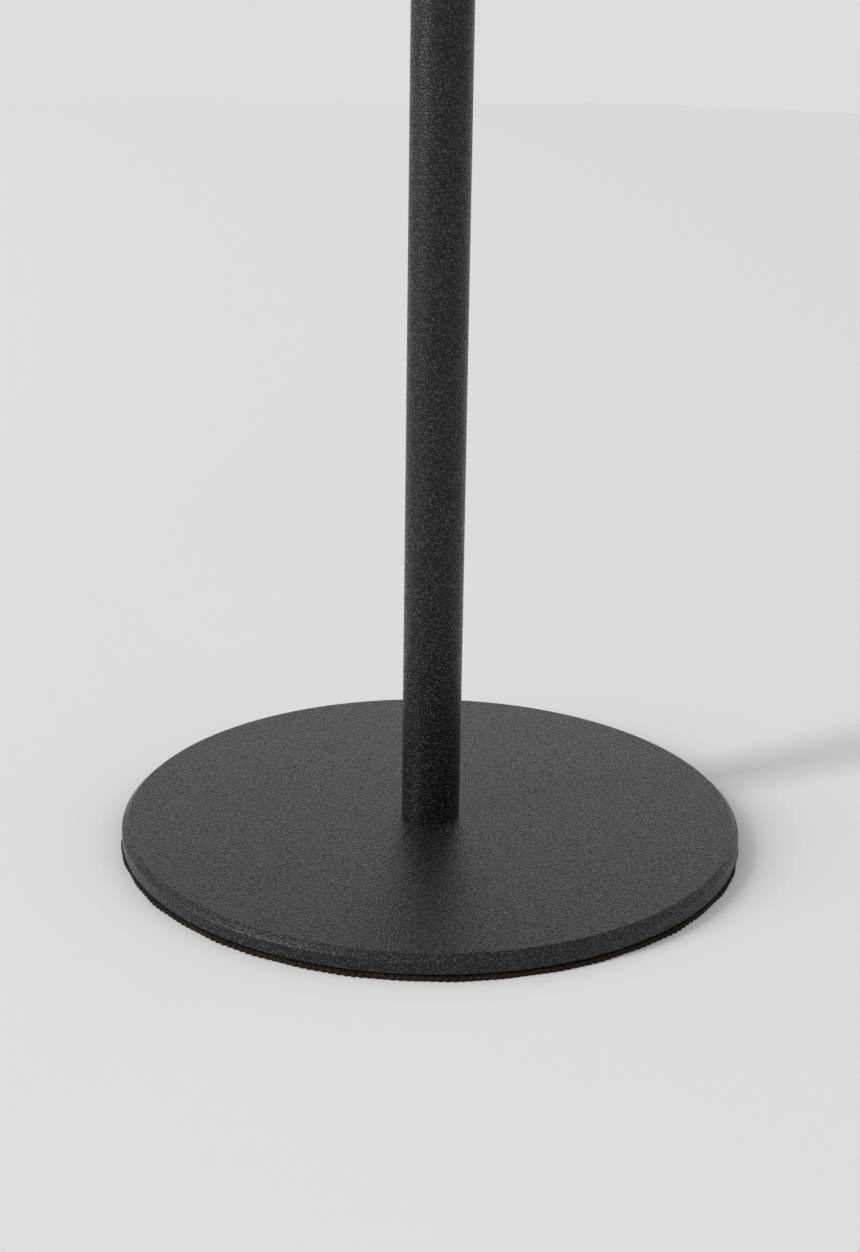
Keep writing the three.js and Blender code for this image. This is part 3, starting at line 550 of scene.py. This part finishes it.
# Pad: foam sheet with a nibbled cut edge, on a set-back layer of adhesive. The edge's radius gains lobes of
# |sin(n v / 2)|, uneven by two slower waves, and they swell as sqrt(1 - u^6) up the foam, u = -1 to 1.
padShape = {
    "lobes": 272,
    "lobeSteps": 8,
    "lobeHeight": 0.0006,
    "reach": 0.0006,
    "edge": 0.0002,
    "fullness": 6,
    "adhesive": 0.0004,
    "setBack": 0.0009,
    "slowWaves": ((17, 1.3, 0.35), (41, 0.0, 0.25)),
    "rimShare": 0.1,  # share of the radius that the lobes fade in over
}


def makePad(shape):
    low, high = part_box("anti_slip_pad")
    outer, rise = high[0], shape["lobeHeight"]
    foamTop = high[2] - shape["adhesive"]
    middle, half = (low[2] + foamTop) / 2, (foamTop - low[2]) / 2

    def lobes(radius, height, angle):
        swell = np.sqrt(np.clip(1 - ((height - middle) / half) ** shape["fullness"], 0, 1))
        share = np.clip((radius / outer - 1) / shape["rimShare"] + 1, 0, 1)
        uneven = sum(size * np.sin(count * angle + phase) for count, phase, size in shape["slowWaves"])
        tallest = 1 + sum(size for count, phase, size in shape["slowWaves"])
        wave = np.abs(np.sin(shape["lobes"] / 2 * angle)) * (1 + uneven) / tallest
        return radius + share * swell * rise * wave

    foamRadius = outer + shape["reach"] - rise
    profile = filleted([
        (0.0, low[2]),
        (foamRadius, low[2], shape["edge"]),
        (foamRadius, foamTop, shape["edge"]),
        (outer - shape["setBack"], foamTop),
        (outer - shape["setBack"], high[2]),
        (0.0, high[2]),
    ], closed=False)
    pad = revolved("footPad", profile, shape["lobes"] * shape["lobeSteps"], closed=False, form=lobes)
    finish(pad, "stand", made["foam"], "foam_pad", "anti_slip_pad")


# Stem: drawn tube with softly broken ends
stemShape = {"wall": 0.0011, "endRadius": 0.0001, "turns": 160}


def makeStem(shape):
    low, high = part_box("stem_tube")
    outer, end = high[0], shape["endRadius"]
    inner = outer - shape["wall"]
    corners = [(inner, low[2]), (outer, low[2]), (outer, high[2]), (inner, high[2])]
    profile = filleted([corner + (end,) for corner in corners])
    finish(revolved("stemTube", profile, shape["turns"]), "stand", coat, "powder_coat", "stem_tube")


makePlate(plateShape)
makePad(padShape)
makeStem(stemShape)
print("stand made")

# Tilt hinge. Its pieces turn about the X axis at the pivot, and heights are along X.
hingeShape = {
    "pivot": (0.0, 0.0, 0.335),
    "hole": 0.0021,
    "edge": 0.00025,
    "turns": 144,
    "plugRadius": 0.0049,
    "collarHeight": 0.002,
    "tongueHalfWidth": 0.0055,
    "tongueFoot": 0.013,
    "tongueTop": 0.0065,
    "tongueHalf": 0.002,
    "earRadius": 0.0065,
    "earSheet": 0.002,
    "boltRadius": 0.002,
    "headHeight": 0.0028,
    "hexAcross": 0.007,
    "hexChamfer": 0.0005,
    "hexFaceShare": 0.96,
    "hexSteps": 5,
    "springGap": 0.14,
    "springSteps": 120,
    "washerEdge": 0.0001,
    "washerTurns": 96,
}


# Flat piece across X whose outline is the given reach, with a round hole and rounded arrises
def acrossX(outline, lowX, highX, shape):
    edge, bore = shape["edge"], shape["hole"]

    def form(radius, height, angle):
        return toOutline(radius, outline(angle))

    profile = filleted([(bore, lowX), (outlineMark, lowX, edge), (outlineMark, highX, edge), (bore, highX)])
    return revolvedGrid(profile, shape["turns"], form=form, axis="x", centre=shape["pivot"])


# Distance along a direction to a straight side. A direction that never meets it gets infinity.
def lineReach(distance, cosine, least=1e-6):
    return np.where(cosine > least, distance / np.maximum(cosine, least), np.inf)


# Hexagon with a turned chamfer: the radius is the smaller of the flats' line and the turned line
def hexOutline(shape, radius, height, angle):
    return np.minimum(radius, polygonReach(angle, 6, shape["hexAcross"] / 2, math.pi / 6))


# Corner circle of the hexagon, and the turned chamfer's line from there to the face
def hexLines(shape, start, face):
    corner, rim = shape["hexAcross"] / math.sqrt(3), shape["hexFaceShare"] * shape["hexAcross"] / 2
    share = np.linspace(0, 1, shape["hexSteps"])[:, None]
    return corner, (1 - share) * [corner, start] + share * [rim, face]


# Knuckle: a turned plug with a collar on the tube's end, and a flat tongue. The tongue's outline is a box
# that reaches its half width to each side of the pivot, top above it and foot below it.
def makeKnuckle(shape):
    low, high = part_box("stem_knuckle")
    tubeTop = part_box("stem_tube")[1][2]
    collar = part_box("stem_tube")[1][0]
    plug, edge = shape["plugRadius"], shape["edge"]
    profile = filleted([
        (0.0, low[2]),
        (plug, low[2], edge),
        (plug, tubeTop),
        (collar, tubeTop, edge / 2),
        (collar, tubeTop + shape["collarHeight"], edge),
        (0.0, tubeTop + shape["collarHeight"]),
    ], closed=False)

    def tongue(angle):
        sides = lineReach(shape["tongueHalfWidth"], np.abs(np.cos(angle)))
        top = lineReach(shape["tongueTop"], np.sin(angle))
        foot = lineReach(shape["tongueFoot"], -np.sin(angle))
        return np.minimum(sides, np.minimum(top, foot))

    half = shape["tongueHalf"]
    piece = joined("stemKnuckle", [
        revolvedGrid(profile, shape["turns"], closed=False),
        acrossX(tongue, -half, half, shape),
    ])
    finish(piece, "stand", made["blackOxide"], "black_steel", "stem_knuckle")


# Bracket: a flat web with two ears hanging from it. An ear is a half disc below the pivot, and straight
# sided above it.
def makeBracket(shape):
    low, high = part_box("hinge_bracket")
    webLow = high[2] - shape["earSheet"]
    legTop = webLow + shape["edge"] - shape["pivot"][2]  # runs into the web past its rounded arris

    def ear(angle):
        sides = lineReach(shape["earRadius"], np.abs(np.cos(angle)))
        raised = np.minimum(sides, lineReach(legTop, np.sin(angle)))
        return np.where(np.sin(angle) > 0, raised, shape["earRadius"])

    def web(radius, height, angle):
        box = lineReach(high[0], np.abs(np.cos(angle))), lineReach(high[1], np.abs(np.sin(angle)))
        return toOutline(radius, np.minimum(*box))

    edge = shape["edge"]
    profile = filleted([
        (0.0, webLow), (outlineMark, webLow, edge), (outlineMark, high[2], edge), (0.0, high[2]),
    ], closed=False)
    piece = joined("hingeBracket", [
        revolvedGrid(profile, shape["turns"], closed=False, form=web),
        acrossX(ear, high[0] - shape["earSheet"], high[0], shape),
        acrossX(ear, low[0], low[0] + shape["earSheet"], shape),
    ])
    finish(piece, "head", made["zinc"], "zinc_steel", "hinge_bracket")


# Friction washers: flat rings on the bolt, one at each side of the tongue
def makeFriction(shape):
    hole, edge = shape["hole"], shape["washerEdge"]
    for side in ("left", "right"):
        node = "friction_washer_" + side
        low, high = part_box(node)
        radius = high[1]
        profile = filleted([
            (hole, low[0]), (radius, low[0], edge), (radius, high[0], edge), (hole, high[0]),
        ])
        name = "frictionWasher" + side.title()
        piece = revolved(name, profile, shape["washerTurns"], axis="x", centre=shape["pivot"])
        finish(piece, "head", made["acetal"], "acetal", node)


# Bolt along X: a chamfered hexagon head, and a plain shank with a rounded end
def makeBolt(shape):
    low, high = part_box("hinge_bolt")
    seat = low[0] + shape["headHeight"]
    chamfer, shank = shape["hexChamfer"], shape["boltRadius"]
    corner, cone = hexLines(shape, low[0] + chamfer, low[0])
    head = np.vstack([[(0.0, low[0])], cone[::-1], [(corner, seat), (0.0, seat)]])
    rod = filleted([
        (0.0, seat - chamfer), (shank, seat - chamfer), (shank, high[0], chamfer), (0.0, high[0]),
    ], closed=False)
    turns, pivot = shape["turns"], shape["pivot"]
    piece = joined("hingeBolt", [
        revolvedGrid(head, turns, closed=False, form=partial(hexOutline, shape), axis="x", centre=pivot),
        revolvedGrid(rod, turns, closed=False, axis="x", centre=pivot),
    ])
    finish(piece, "head", made["blackOxide"], "black_steel", "hinge_bolt")


# Nut: a hexagon with a bore, chamfered on its outer face
def makeNut(shape):
    low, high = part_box("hinge_nut")
    bore, outline = shape["hole"], partial(hexOutline, shape)
    corner, cone = hexLines(shape, high[0] - shape["hexChamfer"], high[0])
    profile = np.vstack([[(bore, low[0]), (corner, low[0])], cone, [(bore, high[0])]])
    piece = revolved("hingeNut", profile, shape["turns"], form=outline, axis="x", centre=shape["pivot"])
    finish(piece, "head", made["zinc"], "zinc_steel", "hinge_nut")


# Split spring washer: a square section swept round X from one side of a gap to the other
def makeSpringWasher(shape):
    low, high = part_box("spring_washer")
    inner, outer, edge = shape["hole"], high[1], shape["washerEdge"]
    section = filleted([
        (inner, low[0], edge), (outer, low[0], edge), (outer, high[0], edge), (inner, high[0], edge),
    ])
    gap = shape["springGap"]
    angles = np.linspace(gap, 2 * np.pi - gap, shape["springSteps"])
    points, _ = revolvedGrid(section, angles, axis="x", centre=shape["pivot"])
    faces = gridFaces(len(section), len(angles), True, False)
    ring = np.arange(len(section)) * len(angles)
    faces += [ring.tolist(), (ring + len(angles) - 1)[::-1].tolist()]
    piece = meshObject("springWasher", points, faces)
    finish(piece, "head", made["springSteel"], "spring_steel", "spring_washer")


# Pan-head screws with a six-lobed recess: the recess's radius is r (1 - lobeDepth (1 - cos(lobes v)) / 2)
screwShape = {
    "lobes": 6,
    "lobeDepth": 0.22,
    "recessShare": 0.52,
    "recessDepth": 0.6,
    "edgeShare": 0.45,
    "threadPitch": 0.0006,
    "threadDepth": 0.0001,
    "recessEdge": 0.05,
    "pointShare": 0.8,
    "nearly": 1e-6,
    "turns": 72,
}
panScrews = {
    "ring_screw_": {
        "ends": ("1", "2", "3"), "shank": 0.00125, "headHeight": 0.0016, "slot": "black_steel",
    },
    "bracket_screw_": {
        "ends": ("front", "rear"), "shank": 0.0015, "headHeight": 0.002, "slot": "zinc_steel",
    },
}


# Screw along Z with its head down: head, then a shank with a zigzag thread, then a blunt point
def makeScrew(node, shape, kind):
    low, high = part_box(node)
    x, y = (low[0] + high[0]) / 2, (low[1] + high[1]) / 2
    headRadius, headHeight, shank = (high[0] - low[0]) / 2, kind["headHeight"], kind["shank"]
    recess = shape["recessShare"] * headRadius
    floor = low[2] + shape["recessDepth"] * headHeight
    seat = low[2] + headHeight

    def lobes(radius, height, angle):
        wave = shape["lobeDepth"] * (1 - np.cos(shape["lobes"] * angle)) / 2
        inRecess = (radius <= recess + shape["nearly"]) & (height <= floor + shape["nearly"])
        return radius * np.where(inRecess, 1 - wave, 1 + 0 * wave)

    pitch = shape["threadPitch"]
    threadZ = np.arange(seat + pitch, high[2] - pitch, pitch / 2)
    depth = np.where(np.arange(len(threadZ)) % 2, shape["threadDepth"], 0.0)
    thread = np.stack([shank - depth, threadZ], axis=1)
    # The recess is cut into the head from below, so the profile starts at its floor
    head = filleted([
        (0.0, floor), (recess, floor), (recess, low[2], headHeight * shape["recessEdge"]),
        (headRadius, low[2], headHeight * shape["edgeShare"]), (headRadius, seat), (shank, seat),
        (shank, high[2]), (0.0, high[2]),
    ], closed=False)
    profile = np.vstack([head[:-2], thread, [(shank * shape["pointShare"], high[2]), (0.0, high[2])]])
    name = "".join(word.title() for word in node.split("_"))
    name = name[0].lower() + name[1:]
    piece = revolved(name, profile, shape["turns"], closed=False, form=lobes, centre=(x, y, 0.0))
    finish(piece, "head", slotFinish[kind["slot"]], kind["slot"], node)


makeKnuckle(hingeShape)
makeBracket(hingeShape)
makeFriction(hingeShape)
makeBolt(hingeShape)
makeNut(hingeShape)
makeSpringWasher(hingeShape)
for prefix, kind in panScrews.items():
    for end in kind["ends"]:
        makeScrew(prefix + end, screwShape, kind)
print("hinge made")

# Shade: a spun dome. Its line is r = R cos t, z = skirt + H sin t, up to a flat land round the neck.
shadeShape = {
    "wall": 0.001,
    "skirtTop": 0.343,
    "landRadius": 0.0195,
    "landFillet": 0.004,
    "holeRadius": 0.0142,
    "rimRound": 0.00045,
    "holeRound": 0.0002,
    "slotMargin": 0.0006,
    "cutterInside": 0.005,
    "cutterOutside": 0.008,
    "cutterSteps": 24,
    "domeSteps": 72,
    "skirtSteps": 6,
    "rimSteps": 6,
    "landSteps": 8,
    "turns": 360,
}


# The dome's line from its skirt to the radius where the land starts
def domeLine(radius, height, base, toRadius, steps):
    t = np.linspace(0, math.acos(toRadius / radius), steps)
    return np.stack([radius * np.cos(t), base + height * np.sin(t)], axis=1)


# Piece along Y with round-ended sections, closed at both ends. Each ring is (inset, y), and the inset is
# measured from the box in X and Z.
def stadiumSweep(name, low, high, rings, steps):
    t = np.linspace(-np.pi / 2, np.pi / 2, steps)
    points = []
    for inset, y in rings:
        radius = (high[2] - low[2]) / 2 - inset
        centre = (high[0] - low[0]) / 2 - inset - radius
        out, up = radius * np.cos(t), radius * np.sin(t)
        x = np.concatenate([centre + out, -centre - out]) + (low[0] + high[0]) / 2
        z = np.concatenate([up, -up]) + (low[2] + high[2]) / 2
        points.append(np.stack([x, 0 * x + y, z], axis=1))
    count = 2 * steps
    last = (len(rings) - 1) * count
    faces = gridFaces(len(rings), count, False)
    faces += [list(range(count))[::-1], list(range(last, last + count))]
    return meshObject(name, np.vstack(points), faces)


def makeShade(shape):
    low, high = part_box("shade")
    outer, wall = high[0], shape["wall"]
    base, land = shape["skirtTop"], shape["landRadius"]
    rise = (high[2] - base) / math.sqrt(1 - (land / outer) ** 2)
    outside = domeLine(outer, rise, base, land, shape["domeSteps"])
    inside = domeLine(outer - wall, rise - wall, base, land, shape["domeSteps"])[::-1]
    skirt = np.linspace(low[2] + wall, base, shape["skirtSteps"], endpoint=False)[:, None]
    hole, rimRound = shape["holeRadius"], shape["rimRound"]
    rim = filleted([
        (outer - wall, base), (outer - wall, low[2], rimRound), (outer, low[2], rimRound), (outer, base),
    ], closed=False, steps=shape["rimSteps"])[1:-1]
    landEdge = tuple(outside[-1]) + (shape["landFillet"],)
    crown = filleted([
        tuple(outside[-2]), landEdge, (hole, high[2], shape["holeRound"]), (hole, high[2] - wall),
        tuple(inside[0]),
    ], closed=False, steps=shape["landSteps"])[1:-1]
    profile = np.vstack([
        rim, np.hstack([0 * skirt + outer, skirt]), outside[:-1], crown, inside,
        np.hstack([0 * skirt + outer - wall, skirt])[::-1],
    ])
    shade = revolved("domeShade", profile, shape["turns"])
    lowSocket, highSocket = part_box("usb_socket")
    outset, mouth = -shape["slotMargin"], highSocket[1]
    rings = [(outset, mouth + shape["cutterOutside"]), (outset, mouth - shape["cutterInside"])]
    cutter = stadiumSweep("slotCutter", lowSocket, highSocket, rings, shape["cutterSteps"])
    cut = shade.modifiers.new("slot", "BOOLEAN")
    cut.operation, cut.solver, cut.object = "DIFFERENCE", "EXACT", cutter
    graph = bpy.context.evaluated_depsgraph_get()
    shade.data = bpy.data.meshes.new_from_object(shade.evaluated_get(graph))
    shade.modifiers.clear()
    bpy.data.objects.remove(cutter)
    smooth(shade)
    finish(shade, "head", coat, "powder_coat", "shade")


# Charging socket: a round-ended shell open to the rear, with a thin tongue that starts in its back wall
socketShape = {
    "wall": 0.00035,
    "edge": 0.00008,
    "back": 0.001,
    "tongueHalfWidth": 0.00335,
    "tongueHalfSheet": 0.00035,
    "tongueEnd": 0.0054,
    "steps": 24,
}


def makeSocket(shape):
    low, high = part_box("usb_socket")
    wall, edge, steps = shape["wall"], shape["edge"], shape["steps"]
    inside, mouth = low[1] + shape["back"], high[1]
    rings = [
        (wall, inside), (wall, mouth - edge), (wall - edge, mouth), (edge, mouth), (0.0, mouth - edge),
        (0.0, low[1]),
    ]
    shell = stadiumSweep("usbSocket", low, high, rings, steps)
    finish(shell, "head", made["nickel"], "nickel", "usb_socket")
    middle = (np.array(low) + np.array(high)) / 2
    reach = np.array([shape["tongueHalfWidth"], 0.0, shape["tongueHalfSheet"]])
    rings = [(0.0, low[1] + shape["tongueEnd"]), (0.0, inside - edge)]
    tongue = stadiumSweep("socketTongue", middle - reach, middle + reach, rings, steps)
    finish(tongue, "head", made["blackPlastic"], "black_plastic")


# Ring nut: chamfered ring with shallow flutes round its side, r = R - depth max(0, cos nv)^2
nutShape = {
    "bore": 0.0141,
    "chamfer": 0.0008,
    "arris": 0.00015,
    "flutes": 36,
    "fluteDepth": 0.0003,
    "turns": 432,
}


def makeRingNut(shape):
    low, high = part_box("ring_nut")
    outer, chamfer, arris = high[0], shape["chamfer"], shape["arris"]

    def flutes(radius, height, angle):
        cutIn = shape["fluteDepth"] * np.clip(np.cos(shape["flutes"] * angle), 0, 1) ** 2
        return np.minimum(radius, outer - cutIn)

    corners = [
        (shape["bore"], low[2]), (outer, low[2], arris), (outer, high[2] - chamfer, arris),
        (outer - chamfer, high[2], arris), (shape["bore"], high[2], arris),
    ]
    nut = revolved("ringNut", filleted(corners), shape["turns"], form=flutes)
    finish(nut, "head", coat, "powder_coat", "ring_nut")


# Neck lip: the top of the housing's neck, which shows between the nut and the button
lipShape = {
    "inner": 0.0109,
    "outer": 0.01402,
    "depth": 0.0012,
    "arris": 0.0002,
    "rise": 0.00001,  # above the housing's own top face
    "turns": 240,
}


def makeNeckLip(shape):
    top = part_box("core_housing")[1][2] + shape["rise"]
    low = top - shape["depth"]
    profile = filleted([
        (shape["inner"], low), (shape["outer"], low), (shape["outer"], top, shape["arris"]),
        (shape["inner"], top, shape["arris"]),
    ])
    finish(revolved("neckLip", profile, shape["turns"]), "head", made["blackPlastic"], "black_plastic")


# Push button: a cup with a dished face, z = face - dish (1 - (r / R)^2)
buttonShape = {
    "radius": 0.0108,
    "flangeRadius": 0.0121,
    "dish": 0.0005,
    "edge": 0.0004,
    "wall": 0.0014,
    "flangeTop": 0.0021,
    "skirt": 0.0034,
    "nibRadius": 0.0022,
    "arris": 0.0002,
    "dishSteps": 14,
    "turns": 240,
}


def makeButton(shape):
    low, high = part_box("power_button")
    radius, face, dish = shape["radius"], high[2], shape["dish"]
    ceiling = face - dish - shape["wall"]
    flangeTop = face - shape["flangeTop"]
    flangeBottom = flangeTop - shape["skirt"]
    inner = radius - shape["wall"]
    rim = radius - shape["edge"]
    share = np.linspace(1, 0, shape["dishSteps"])[1:]
    dished = np.stack([rim * share, face - dish * (1 - share ** 2)], axis=1)
    nib, flange, arris = shape["nibRadius"], shape["flangeRadius"], shape["arris"]
    body = filleted([
        (0.0, low[2]), (nib, low[2], arris), (nib, ceiling), (inner, ceiling), (inner, flangeBottom),
        (flange, flangeBottom), (flange, flangeTop, arris), (radius, flangeTop),
        (radius, face, shape["edge"]), (0.0, face),
    ], closed=False)[:-1]
    button = revolved("pushButton", np.vstack([body, dished]), shape["turns"], closed=False)
    finish(button, "button", made["blackPlastic"], "black_plastic", "power_button")


# Light's underside: opal disc with the collar round the hinge well, and the ring that holds it
lightShape = {
    "wellRadius": 0.01698,
    "collarWall": 0.002,
    "discThickness": 0.0025,
    "edge": 0.0004,
    "ringWidth": 0.0072,
    "ringChamfer": 0.0008,
    "turns": 288,
}


def makeLightFace(shape):
    low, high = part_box("diffuser")
    outer, edge = high[0], shape["edge"]
    well = shape["wellRadius"]
    collar = well + shape["collarWall"]
    faceTop = low[2] + shape["discThickness"]
    disc = revolved("opalDiffuser", filleted([
        (well, low[2], edge), (outer, low[2], edge), (outer, faceTop), (collar, faceTop, edge),
        (collar, high[2]), (well, high[2], edge / 2),
    ]), shape["turns"])
    finish(disc, "head", made["opal"], "opal_plastic", "diffuser")
    low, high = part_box("retaining_ring")
    inner, chamfer = high[0] - shape["ringWidth"], shape["ringChamfer"]
    ring = revolved("retainingRing", filleted([
        (inner + chamfer, low[2], edge / 2), (high[0], low[2], edge), (high[0], high[2]), (inner, high[2]),
        (inner, low[2] + chamfer, edge / 2),
    ]), shape["turns"])
    finish(ring, "head", made["blackPlastic"], "black_plastic", "retaining_ring")


makeShade(shadeShape)
makeSocket(socketShape)
makeRingNut(nutShape)
makeNeckLip(lipShape)
makeButton(buttonShape)
makeLightFace(lightShape)
print("head made")

# Floor: a pale disc that ends where the photograph's backdrop starts
floorShape = {
    "radius": 1.04,
    "rings": (0.15, 0.4, 1.0),  # shares of the radius
    "turns": 192,
    "colour": (0.805, 0.788, 0.755),
    "roughness": 0.9,
    "specular": 0.0,
}


def makeFloor(shape):
    angle = np.linspace(0, 2 * np.pi, shape["turns"], endpoint=False)
    rings = np.array(shape["rings"])[::-1, None] * shape["radius"]
    grid = np.stack([rings * np.cos(angle), rings * np.sin(angle), 0 * rings + 0 * angle], axis=-1)
    faces = gridFaces(len(rings), len(angle), False)
    last = (len(rings) - 1) * len(angle)
    faces.append([last + k for k in range(len(angle))])
    floor = meshObject("floor", grid.reshape(-1, 3), faces)
    material, nodes, links, shader, place = newMaterial("paleFloor")
    shader.inputs["Base Color"].default_value = shape["colour"] + (1.0,)
    shader.inputs["Roughness"].default_value = shape["roughness"]
    shader.inputs["Specular IOR Level"].default_value = shape["specular"]
    floor.data.materials.append(material)


makeFloor(floorShape)
